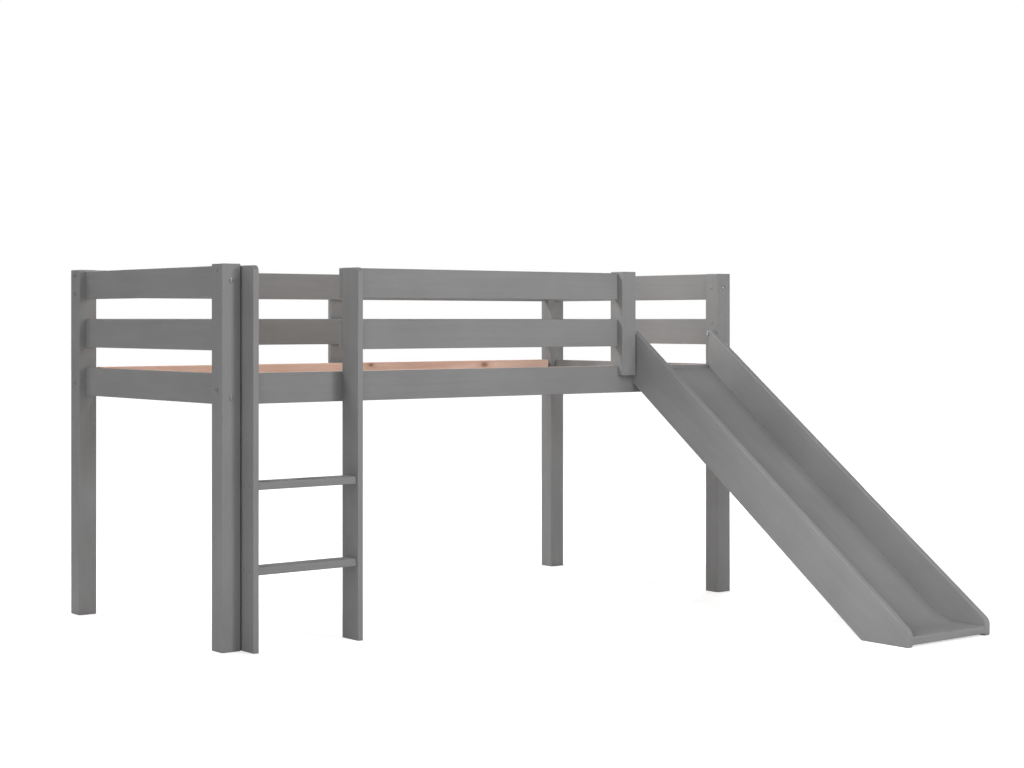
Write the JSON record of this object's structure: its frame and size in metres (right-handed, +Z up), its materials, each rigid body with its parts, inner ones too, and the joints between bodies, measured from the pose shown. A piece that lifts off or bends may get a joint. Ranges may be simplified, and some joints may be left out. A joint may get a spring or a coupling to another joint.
{
  "type": "loft bed with slide",
  "caption": "Mid-height loft bed for a single mattress, with guard rails, an upright ladder and a straight slide with a level run-out, built from posts, boards and frame bolts.",
  "frame": {"origin": "on the floor, under the middle of the whole outline", "axes": "+Z up, +X along the bed from the ladder's end to the slide's end, -Y the front, where the ladder and the slide are"},
  "size_m": [2.0932, 2.188, 1.14],
  "materials": {
    "grey_paint": "smooth satin grey paint on wood",
    "natural_pine": "planed bare pine",
    "zinc_plated_steel": "bright zinc plating"
  },
  "bodies": {
    "root": {"back_centre_board": "grey_paint", "back_rail_bottom": "grey_paint", "back_rail_middle": "grey_paint", "back_rail_top": "grey_paint", "end_bolt_back_left_bottom": "zinc_plated_steel", "end_bolt_back_left_top": "zinc_plated_steel", "end_bolt_back_right_bottom": "zinc_plated_steel", "end_bolt_back_right_top": "zinc_plated_steel", "end_bolt_front_left_bottom": "zinc_plated_steel", "end_bolt_front_left_top": "zinc_plated_steel", "end_bolt_front_right_bottom": "zinc_plated_steel", "end_bolt_front_right_top": "zinc_plated_steel", "end_rail_left_bottom": "grey_paint", "end_rail_left_middle": "grey_paint", "end_rail_left_top": "grey_paint", "end_rail_right_bottom": "grey_paint", "end_rail_right_middle": "grey_paint", "end_rail_right_top": "grey_paint", "front_side_rail": "grey_paint", "guard_post": "grey_paint", "guard_rail_middle": "grey_paint", "guard_rail_top": "grey_paint", "ladder_rung_1": "grey_paint", "ladder_rung_2": "grey_paint", "ladder_upright_left": "grey_paint", "ladder_upright_right": "grey_paint", "post_back_left": "grey_paint", "post_back_right": "grey_paint", "post_front_left": "grey_paint", "post_front_right": "grey_paint", "side_bolt_back_left_bottom": "zinc_plated_steel", "side_bolt_back_left_top_high": "zinc_plated_steel", "side_bolt_back_left_top_low": "zinc_plated_steel", "side_bolt_back_right_bottom": "zinc_plated_steel", "side_bolt_back_right_top_high": "zinc_plated_steel", "side_bolt_back_right_top_low": "zinc_plated_steel", "side_bolt_front_left_bottom": "zinc_plated_steel", "side_bolt_front_right_bottom": "zinc_plated_steel", "slat_01": "natural_pine", "slat_02": "natural_pine", "slat_03": "natural_pine", "slat_04": "natural_pine", "slat_05": "natural_pine", "slat_06": "natural_pine", "slat_07": "natural_pine", "slat_08": "natural_pine", "slat_09": "natural_pine", "slat_10": "natural_pine", "slat_11": "natural_pine", "slat_12": "natural_pine", "slat_bearer_back": "natural_pine", "slat_bearer_front": "natural_pine", "slide_batten_middle": "grey_paint", "slide_batten_top": "grey_paint", "slide_bracket_left": "zinc_plated_steel", "slide_bracket_right": "zinc_plated_steel", "slide_deck": "grey_paint", "slide_front_batten": "grey_paint", "slide_panel_left": "grey_paint", "slide_panel_right": "grey_paint"}
  },
  "joints": []
}
